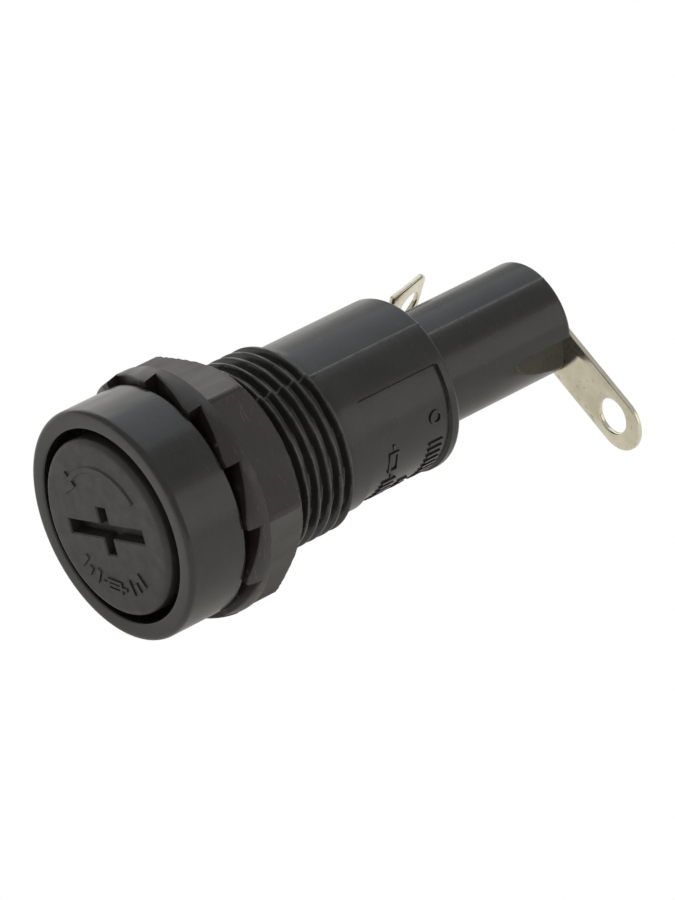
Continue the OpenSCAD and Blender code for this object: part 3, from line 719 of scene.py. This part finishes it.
def slotCutter(length, width):  # a driver slot with eased edges at its mouth
    k = knob
    c, s = math.cos(math.radians(k["slotAngle"])), math.sin(math.radians(k["slotAngle"]))
    flare = k["slotFlare"]
    loops = []
    for grow, depth in ((flare, -0.3), (flare, 0.0), (0.0, flare), (-0.03, k["slotDepth"])):
        corners = rectangle(0, 0, length + 2 * grow, width + 2 * grow)
        loops.append([onFace(u * c - v * s, u * s + v * c - k["slotDrop"], -depth) for u, v in corners])
    return loft(loops)


def buildKnob():
    k = knob
    profile = [(0, k["face"]), (2.2, k["face"]), (4.6, k["face"])]
    profile += arc(k["capRadius"] - k["capEdge"], k["face"] + k["capEdge"], k["capEdge"], -90, 0, 8)
    profile += [(k["capRadius"], k["capBack"] - 0.1), (k["capRadius"] - 0.1, k["capBack"]),
                (k["stemRadius"] + 0.1, k["capBack"]), (k["stemRadius"], k["capBack"] + 0.1)]
    profile += [(k["stemRadius"], y) for y in (0.0, 3.0, k["stemEnd"] - 0.3)]
    profile += [(k["stemRadius"] - 0.3, k["stemEnd"]), (0, k["stemEnd"])]
    body = makeObject("knobCap", lathe(profile, evenAngles(160)), knobPlastic)
    added = []
    for side in (0, 180):
        added.append(makeObject("bayonetLug", ringSector(
            k["stemRadius"] - 0.8, k["lugRadius"], k["lugFront"], k["lugBack"],
                k["lugAngle"] + side - k["lugArc"] / 2,
            k["lugArc"])))
    w = k["arrowWidth"] / 2
    outer = polarOutline(k["arrowRadius"] + w, k["arrowStart"], k["arrowEnd"], 24)
    inner = polarOutline(k["arrowRadius"] - w, k["arrowStart"], k["arrowEnd"], 24)
    added.append(makeObject("arrowShaft", stripPrism(outer, inner, -0.08, k["markRise"], onFace)))
    head = [(k["arrowRadius"] + s * 0.58, k["arrowEnd"] - 1) for s in (1, -1)] + [(k["arrowRadius"],
        k["arrowTip"])]
    head = [(r * math.cos(math.radians(a)), r * math.sin(math.radians(a))) for r, a in head]
    added.append(makeObject("arrowHead", prism(head, -0.08, k["markRise"], onFace)))
    # below the slots: a fuse sign with a few raised bars at each side, on one arc
    for n, a in enumerate((-122, -112, -102, -54, -44, -34)):
        wide = 0.3
        outerR, innerR = 4.45, 3.35 if n in (0, 2, 3, 5) else 3.7
        middle = (outerR + innerR) / 2
        sweep = math.degrees(wide / middle) / 2
        bar = polarOutline(outerR, a - sweep, a + sweep, 2)
        low = polarOutline(innerR, a - sweep * outerR / innerR, a + sweep * outerR / innerR, 2)
        added.append(makeObject("faceBar", stripPrism(bar, low, -0.08, k["markRise"], onFace)))
    turn = math.radians(-78 + 90)

    def onArc(u, v, height):  # the sign's own flat coordinates, centred on the arc
        cx, cy = 3.85 * math.cos(math.radians(-78)), 3.85 * math.sin(math.radians(-78))
        return onFace(cx + u * math.cos(turn) - v * math.sin(turn),
            cy + u * math.sin(turn) + v * math.cos(turn), height)

    added += fuseSign(onArc, 0, 0, 1.35, 0.8, 0.19, k["markRise"], "faceSign")
    combine(body, added, "UNION")
    cutters = [makeObject("pocketCutter", lathe([(0, k["pocket"]), (k["pocketRadius"], k["pocket"]),
                                                 (k["pocketRadius"], k["stemEnd"] + 1), (0, k["stemEnd"] + 1)],
                                                evenAngles(96))),
               makeObject("pinCutter", lathe([(0, k["pinFront"]), (k["pinRadius"], k["pinFront"]),
                                              (k["pinRadius"], k["pocket"] + 0.3), (0, k["pocket"] + 0.3)],
                                             evenAngles(48))),
               makeObject("longSlot", slotCutter(k["slotLength"], k["slotWidth"])),
               makeObject("crossSlot", slotCutter(k["slotWidth"], k["crossLength"]))]
    combine(body, cutters, "DIFFERENCE")
    finishMesh(body, knobPlastic, 28)
    declare(body, "knob", "knob")
    print("stage: knob", len(body.data.polygons), "faces")


buildKnob()

terminal = {
    "thick": 0.35, "edge": 0.1, "endY": 30.37, "endWidth": 3.9, "endHoleOut": 8.45, "endTip": 8.95,
        "endHole": 1.2,
    "endAngle": -27.0, "discRadius": 2.5, "rivetHole": 1.0,
    "stripInner": 4.1, "sideWidth": 4.1, "neckWidth": 2.05, "shoulder": 3.41, "sideEnd": 6.98,
        "sideHoleOut": 5.7,
    "sideHole": 0.93, "cornerRadius": 0.65, "splay": 12.0, "twist": 7.0, "sideAngle": 171.0, "step": 19.13,
    "fingerRadius": 2.92, "fingerY": 7.73}


# flat sheet with rounded stamped edges, then put in place
def stampedPlate(name, outline, holes, thick, edge, place):
    curve = bpy.data.curves.new(name, "CURVE")
    curve.dimensions, curve.fill_mode = "2D", "BOTH"
    curve.extrude, curve.bevel_depth, curve.bevel_resolution = (thick / 2 - edge), edge, 2
    curve.offset = -edge
    for loop in [outline] + holes:
        spline = curve.splines.new("POLY")
        spline.points.add(len(loop) - 1)
        for point, (u, v) in zip(spline.points, loop):
            point.co = (u, v, 0, 1)
        spline.use_cyclic_u = True
    obj = bpy.data.objects.new(name, curve)
    bpy.context.scene.collection.objects.link(obj)
    mesh = bpy.data.meshes.new_from_object(obj.evaluated_get(bpy.context.evaluated_depsgraph_get()))
    bpy.data.objects.remove(obj)
    bm = bmesh.new()
    bm.from_mesh(mesh)
    bmesh.ops.remove_doubles(bm, verts=bm.verts, dist=0.0005)
    for v in bm.verts:
        v.co = place(v.co.x, v.co.y, v.co.z)
    bmesh.ops.recalc_face_normals(bm, faces=bm.faces)
    return makeObject(name, bm, None, 35)


def circle(cx, cy, radius, steps=40, clockwise=False):
    turn = -1 if clockwise else 1
    return [(cx + radius * math.cos(turn * 2 * math.pi * i / steps),
             cy + radius * math.sin(turn * 2 * math.pi * i / steps)) for i in range(steps)]


def buildEndTerminal():
    t = terminal
    half, disc = t["endWidth"] / 2, t["discRadius"]
    meet = math.degrees(math.asin(half / disc))
    outline = [(disc * math.cos(math.radians(a)), disc * math.sin(math.radians(a)))
               for a in [meet + (360 - 2 * meet) * i / 40 for i in range(41)]]
    outline += [(t["endTip"] + half * math.cos(math.radians(a)), half * math.sin(math.radians(a)))
                for a in range(-90, 91, 6)]
    turn = math.radians(t["endAngle"])

    def place(u, v, w):
        return Vector((u * math.cos(turn) - v * math.sin(turn), t["endY"] + t["thick"] / 2 + w,
                       u * math.sin(turn) + v * math.cos(turn))) * mm

    holes = [circle(0, 0, t["rivetHole"]), circle(t["endHoleOut"], 0, t["endHole"])]
    body = stampedPlate("endLug", outline, holes, t["thick"], t["edge"], place)
    finishMesh(body, tinPlate, 35)
    declare(body, "holder", "end_terminal")


def buildSideTerminal():
    t = terminal
    s = math.radians(t["splay"])

    def onLug(u, v, w):  # u along the lug, v across it, w through it
        bend = min(1.0, max(0.0, (u - 0.4) / (t["shoulder"] - 0.4)))
        twist = math.radians(t["twist"]) * bend * bend * (3 - 2 * bend)
        w, v = w * math.cos(twist) + v * math.sin(twist), v * math.cos(twist) - w * math.sin(twist)
        out = t["thick"] / 2 + w
        return turned(t["stripInner"] + out * math.cos(s) + u * math.sin(s),
                      t["step"] - out * math.sin(s) + u * math.cos(s), v, t["sideAngle"])

    half, neck, c, end = t["sideWidth"] / 2, t["neckWidth"] / 2, t["cornerRadius"], t["sideEnd"]
    outline = [(0.1, -neck), (t["shoulder"] - 0.15, -neck), (t["shoulder"], -neck - 0.15),
        (t["shoulder"], -half + 0.1),
               (t["shoulder"] + 0.1, -half)]
    outline += arc(end - c, c - half, c, -90, 0, 8) + arc(end - c, half - c, c, 0, 90, 8)
    outline += [(t["shoulder"] + 0.1, half), (t["shoulder"], half - 0.1), (t["shoulder"], neck + 0.15),
                (t["shoulder"] - 0.15, neck), (0.1, neck)]
    lug = stampedPlate("sideLug", outline, [circle(t["sideHoleOut"], 0, t["sideHole"], 32)], t["thick"],
        t["edge"], onLug)
    # the strip inside the barrel, bent in to the contact finger
    mid, finger = t["stripInner"] + t["thick"] / 2, t["fingerRadius"] + t["thick"] / 2
    f = t["fingerY"]
    spine = [(mid, t["step"] + 0.45), (mid, f + 5.0), (finger + 0.35, f + 1.2), (finger, f + 0.5),
        (finger, f - 0.3),
             (finger + 0.7, f - 1.2)]
    loops = []
    for i, (r, y) in enumerate(spine):
        along = (Vector(spine[min(i + 1, len(spine) - 1)]) - Vector(spine[max(i - 1, 0)])).normalized()
        out = Vector((-along.y, along.x)) * t["thick"] / 2
        loops.append([turned(r + out.x * k, y + out.y * k, j * neck, t["sideAngle"])
                      for k, j in ((1, 1), (1, -1), (-1, -1), (-1, 1))])
    strip = makeObject("sideStrip", loft(loops))
    bevel = strip.modifiers.new("edge", "BEVEL")
    bevel.width, bevel.segments, bevel.limit_method, bevel.angle_limit = 0.05 * mm, 2, "ANGLE", math.radians(40)
    settle(strip)
    combine(lug, [strip], "UNION")
    lug.name = "sideTerminal"
    finishMesh(lug, tinPlate, 35)
    declare(lug, "holder", "side_terminal")


buildEndTerminal()
buildSideTerminal()
print("stage: terminals")

contact = {
    "springDiameter": 4.2, "wire": 0.42, "springStart": 23.85, "springEnd": 28.97, "freeTurns": 4.0,
    "plungerRadius": 2.8, "plungerY": 23.45, "plungerFace": 0.4, "plungerSkirt": 1.7, "skirtBore": 2.2,
    "rivetShank": 0.98, "rivetBore": 0.55, "rivetHead": 2.4, "rivetHeadThick": 0.4, "flange": 1.75,
        "flangeThick": 0.4}


def springTree(material):  # wire swept along a helix that closes up at both ends
    tree = treeWith("contactSpring", {"Turns": 6.0, "Coil radius": 1.0, "Height": 1.0, "Wire radius": 0.1,
                                      "Start": 0.0, "Closed pitch": 0.1})
    size = {s.name: s for s in addNode(tree, "NodeGroupInput").outputs if s.name}
    steps = 260
    line = addNode(tree, "GeometryNodeCurvePrimitiveLine", links={"Start": (0, 0, 0), "End": (1, 0, 0)})
    fine = addNode(tree, "GeometryNodeResampleCurve", links={"Curve": line.outputs[0], "Count": steps})
    along = addNode(tree, "GeometryNodeSplineParameter").outputs["Factor"]
    turn = calc(tree, "MULTIPLY", along, size["Turns"])
    angle = calc(tree, "MULTIPLY", turn, 2 * math.pi)
    # one closed turn at each end, and an even pitch between
    low = calc(tree, "MULTIPLY", calc(tree, "MINIMUM", turn, 1.0), size["Closed pitch"])
    last = calc(tree, "SUBTRACT", size["Turns"], 1.0)
    high = calc(tree, "MULTIPLY", calc(tree, "MAXIMUM", calc(tree, "SUBTRACT", turn, last), 0.0),
        size["Closed pitch"])
    freeHeight = calc(tree, "SUBTRACT", size["Height"], calc(tree, "MULTIPLY", size["Closed pitch"], 2.0))
    freeTurns = calc(tree, "SUBTRACT", size["Turns"], 2.0)
    middle = calc(tree, "MINIMUM", calc(tree, "MAXIMUM", calc(tree, "SUBTRACT", turn, 1.0), 0.0), freeTurns)
    rise = calc(tree, "DIVIDE", calc(tree, "MULTIPLY", middle, freeHeight), freeTurns)
    level = calc(tree, "ADD", calc(tree, "ADD", low, high), calc(tree, "ADD", rise, size["Start"]))
    spot = addNode(tree, "ShaderNodeCombineXYZ", links={
        0: calc(tree, "MULTIPLY", calc(tree, "COSINE", angle), size["Coil radius"]), 1: level,
        2: calc(tree, "MULTIPLY", calc(tree, "SINE", angle), size["Coil radius"])})
    helix = addNode(tree, "GeometryNodeSetPosition", links={"Geometry": fine.outputs[0],
        "Position": spot.outputs[0]})
    section = addNode(tree, "GeometryNodeCurvePrimitiveCircle",
        links={"Resolution": 12, "Radius": size["Wire radius"]})
    wire = addNode(tree, "GeometryNodeCurveToMesh", links={
        "Curve": helix.outputs[0], "Profile Curve": section.outputs[0], "Fill Caps": True})
    closeTree(tree, wire.outputs[0], material)
    return tree


def buildContactParts():
    c = contact
    inset = c["wire"] / 2 + 0.02
    spring = runTree("contactSpring", springTree(springWire), {
        "Turns": c["freeTurns"] + 2, "Coil radius": (c["springDiameter"] - c["wire"]) / 2 * mm,
        "Height": (c["springEnd"] - c["springStart"] - 2 * inset) * mm, "Wire radius": c["wire"] / 2 * mm,
        "Start": (c["springStart"] + inset) * mm, "Closed pitch": c["wire"] * 1.08 * mm}, springWire, 50)
    declare(spring, "holder", "contact_spring")
    y, r, e = c["plungerY"], c["plungerRadius"], 0.15
    end = y + c["plungerFace"] + c["plungerSkirt"]
    plunger = makeObject("contactPlunger", lathe(
        [(0, y + 0.15), (0.6, y + 0.13), (0.85, y)] + arc(r - e, y + e, e, -90, 0, 4) +
        [(r, end - 0.06), (r - 0.06, end), (c["skirtBore"] + 0.08, end), (c["skirtBore"], end - 0.1),
         (c["skirtBore"], y + c["plungerFace"] + 0.1), (c["skirtBore"] - 0.1, y + c["plungerFace"]),
         (0, y + c["plungerFace"])], evenAngles(72)), nickelPlate)
    declare(plunger, "plunger", "contact_plunger")
    head, out = c["springEnd"], 30.72
    rivet = makeObject("endRivet", lathe(
        [(c["rivetBore"], head), (c["rivetHead"] - 0.1, head), (c["rivetHead"], head + 0.1),
         (c["rivetHead"], head + c["rivetHeadThick"] - 0.02), (c["rivetShank"], head + c["rivetHeadThick"]),
         (c["rivetShank"], out), (c["flange"] - 0.12, out)] +
        arc(c["flange"] - 0.17, out + 0.17, 0.17, -90, 60, 6) +
        [(c["rivetBore"] + 0.55, out + c["flangeThick"] - 0.03), (c["rivetBore"] + 0.4, out + c["flangeThick"]),
         (c["rivetBore"] + 0.2, out + c["flangeThick"] - 0.06), (c["rivetBore"], out + c["flangeThick"] - 0.3)],
        evenAngles(64), ring=True), tinPlate)
    declare(rivet, "holder", "end_rivet")
    print("stage: spring, plunger and rivet")


buildContactParts()

fuse = {
    "front": 3.43, "length": 20.0, "radius": 2.6, "capLength": 5.0, "capWall": 0.25, "glassRadius": 2.3,
    "glassBore": 1.75, "wireRadius": 0.11, "solder": 0.55, "solderRadius": 1.7,
    "clipFront": 2.68, "clipEnd": 9.33, "clipInner": 2.62, "clipWall": 0.25, "clipSlot": 0.6, "clipSlots": 4,
    "clipAngle": 171.0, "pinRadius": 0.85, "pinHead": 1.7, "pinFront": -0.02, "pinY": 2.98, "pinHeadThick": 0.4}


def fuseCap(name, sign, base):  # an end cap, drawn from strip: rounded at the closed end, rolled at the mouth
    f = fuse
    r, w, e = f["radius"], f["capWall"], 0.28
    at = lambda y: base + sign * y
    inner = r - w
    profile = [(0, 0.03), (1.5, 0.0)] + [(r - e + e * math.sin(math.radians(a)),
        e - e * math.cos(math.radians(a)))
                                       for a in range(0, 91, 15)]
    profile += [(r, f["capLength"] - 1.35), (r - 0.04, f["capLength"] - 1.25),
        (r - 0.04, f["capLength"] - 1.05),
                (r, f["capLength"] - 0.95), (r, f["capLength"] - 0.08), (r - 0.08, f["capLength"]),
                (inner + 0.05, f["capLength"]), (inner, f["capLength"] - 0.08), (inner, w + 0.1),
                    (inner - 0.1, w), (0, w)]
    return makeObject(name, lathe([(a, at(b)) for a, b in profile], evenAngles(72)), nickelPlate)


def buildFuse():
    f = fuse
    back = f["front"] + f["length"]
    pieces = [(fuseCap("frontCap", 1, f["front"]), "front_ferrule", "ferrule_plating"),
              (fuseCap("rearCap", -1, back), "rear_ferrule", "ferrule_plating")]
    inset = f["capWall"] + 0.05
    lo, hi, r, b = f["front"] + inset, back - inset, f["glassRadius"], f["glassBore"]
    glass = makeObject("glassTube", lathe(
        [(b, lo + 0.1), (b + 0.1, lo), (r - 0.1, lo), (r, lo + 0.1), (r, hi - 0.1), (r - 0.1, hi),
            (b + 0.1, hi), (b, hi - 0.1)],
        evenAngles(96), ring=True), clearGlass)
    pieces.append((glass, "glass_tube", "clear_glass"))
    for name, node, base, sign in (("frontSolder", "front_solder", f["front"] + f["capWall"], 1),
                                   ("rearSolder", "rear_solder", back - f["capWall"], -1)):
        dome = [(0, 0), (f["solderRadius"], 0)] + [
            (f["solderRadius"] * math.cos(math.radians(a)) ** 0.7, f["solder"] * math.sin(math.radians(a)))
            for a in range(12, 90, 12)] + [(0, f["solder"])]
        bead = makeObject(name, lathe([(x, base + sign * y) for x, y in dome], evenAngles(40)), setSolder)
        pieces.append((bead, node, "solder"))
    # the wire runs end to end inside the glass
    w0, w1 = f["front"] + f["capWall"] + f["solder"] - 0.05, back - f["capWall"] - f["solder"] + 0.05
    curve = bpy.data.curves.new("fuseWire", "CURVE")
    curve.dimensions, curve.bevel_depth, curve.bevel_resolution, curve.use_fill_caps = "3D", f["wireRadius"] * mm, 3, True
    spline = curve.splines.new("POLY")
    spline.points.add(24)
    for i, point in enumerate(spline.points):
        t = i / 24
        point.co = (0.0, (w0 + (w1 - w0) * t) * mm, 0.0, 1)
    holder = bpy.data.objects.new("fuseWireCurve", curve)
    bpy.context.scene.collection.objects.link(holder)
    mesh = bpy.data.meshes.new_from_object(holder.evaluated_get(bpy.context.evaluated_depsgraph_get()))
    bpy.data.objects.remove(holder)
    wire = bpy.data.objects.new("fuseWire", mesh)
    bpy.context.scene.collection.objects.link(wire)
    finishMesh(wire, tinnedWire, 40)
    pieces.append((wire, "fuse_wire", "fuse_wire"))
    # the clip that grips the front cap, slit into four leaves
    i, o = f["clipInner"], f["clipInner"] + f["clipWall"]
    p, q = f["clipFront"], f["clipEnd"]
    clip = makeObject("contactClip", lathe(
        [(f["pinRadius"] + 0.05, p + 0.25), (f["pinRadius"] + 0.05, p + 0.04), (f["pinRadius"] + 0.09, p),
            (o - 0.2, p)] +
        arc(o - 0.2, p + 0.2, 0.2, -75, 0, 4) + [(o, q - 0.05), (o - 0.05, q), (i + 0.13, q), (i, q - 0.15),
                                               (i, p + f["clipWall"] + 0.08), (i - 0.08, p + f["clipWall"])],
        evenAngles(96), ring=True), nickelPlate)
    slits = []
    for n in range(f["clipSlots"]):
        a = f["clipAngle"] + (n + 0.5) * 360 / f["clipSlots"]
        slits.append(makeObject("slit", turnedBox((1.5, f["front"] + 0.6, -f["clipSlot"] / 2),
                                                  (4.0, q + 1, f["clipSlot"] / 2), a)))
    combine(clip, slits, "DIFFERENCE")
    finishMesh(clip, nickelPlate, 30)
    pieces.append((clip, "contact_clip", "plated_contact"))
    for piece, node, slot in pieces:
        declare(piece, "fuse_carriage", node)
    y, h = f["pinY"], f["pinHeadThick"]
    pin = makeObject("clipPin", lathe(
        [(0, f["pinFront"]), (f["pinRadius"] - 0.15, f["pinFront"]), (f["pinRadius"], f["pinFront"] + 0.15),
         (f["pinRadius"], y), (f["pinHead"] - 0.1, y), (f["pinHead"], y + 0.1)] +
        [(f["pinHead"] * math.cos(math.radians(a)) ** 0.6, y + 0.1 + (h - 0.1) * math.sin(math.radians(a)))
         for a in (20, 40, 60, 75)] + [(0, y + h)], evenAngles(56)), zincSteel)
    declare(pin, "knob", "clip_pin")
    print("stage: fuse, clip and pin")


buildFuse()

studio = {
    "floorSize": 6.0, "floorLevel": -8.12, "floorGlow": 0.36, "surround": 0.50,
    # each lamp: where it stands, how wide it is (metres), how strong (watts), and its tint
    "lamps": (("topSoftbox", (-0.42, 0.40, 0.62), 0.75, 1.0, "#eef6ff"),
              ("farSideSoftbox", (-0.85, 0.25, 0.25), 0.60, 1.05, "#fffdf6"),
              ("nearSideSoftbox", (0.75, 0.55, 0.30), 0.60, 0.80, "#fffaf0"))}


def buildStudio():
    s = studio
    bm = bmesh.new()
    bmesh.ops.create_grid(bm, x_segments=2, y_segments=2, size=s["floorSize"] / 2)
    for v in bm.verts:
        v.co.z = s["floorLevel"] * mm
    # a lit table: the eye sees it evenly white, and it lights the object softly from below
    material, tree, shader, place = newMaterial("litWhiteAcrylicTable")
    shader.inputs["Base Color"].default_value = srgb("#e6e6e3")
    shader.inputs["Roughness"].default_value = 0.8
    shader.inputs["Emission Color"].default_value = srgb("#fffcf2")
    shader.inputs["Emission Strength"].default_value = s["floorGlow"]
    seen = addNode(tree, "ShaderNodeLightPath").outputs["Is Camera Ray"]
    white = addNode(tree, "ShaderNodeEmission", links={"Color": (1, 1, 1, 1), "Strength": 1.0})
    both = addNode(tree, "ShaderNodeMixShader", links={0: seen, 1: shader.outputs[0], 2: white.outputs[0]})
    tree.links.new(both.outputs[0], tree.nodes["Material Output"].inputs["Surface"])
    makeObject("floor", bm, material)
    world = bpy.data.worlds.new("paleStudio")
    world.use_nodes = True
    back = world.node_tree.nodes["Background"]
    beyond = addNode(world.node_tree, "ShaderNodeLightPath").outputs["Is Camera Ray"]
    level = remap(world.node_tree, beyond, s["surround"], 1.0, 0.0, 1.0)
    world.node_tree.links.new(level, back.inputs["Strength"])
    back.inputs["Color"].default_value = (1, 1, 1, 1)
    bpy.context.scene.world = world
    for name, spot, size, watts, tint in s["lamps"]:
        lamp = bpy.data.lights.new(name, "AREA")
        lamp.shape, lamp.size, lamp.energy = "SQUARE", size, watts
        lamp.color = srgb(tint)[:3]
        obj = bpy.data.objects.new(name, lamp)
        obj.location = spot
        obj.rotation_euler = (Vector((0, 0.012, 0)) - Vector(spot)).to_track_quat("-Z", "Y").to_euler()
        bpy.context.scene.collection.objects.link(obj)
    camera = bpy.data.cameras.new("camera")
    camera.lens, camera.sensor_width, camera.clip_start = 244.26, 36.0, 0.01
    eye = bpy.data.objects.new("camera", camera)
    eye.location = (0.233842, -0.194177, 0.210014)
    eye.rotation_euler = [math.radians(a) for a in (55.802, 0.161, 48.218)]
    bpy.context.scene.collection.objects.link(eye)
    bpy.context.scene.camera = eye
    bpy.context.scene.view_settings.view_transform = "Standard"


buildStudio()
bpy.context.view_layer.update()
print("stage: done")
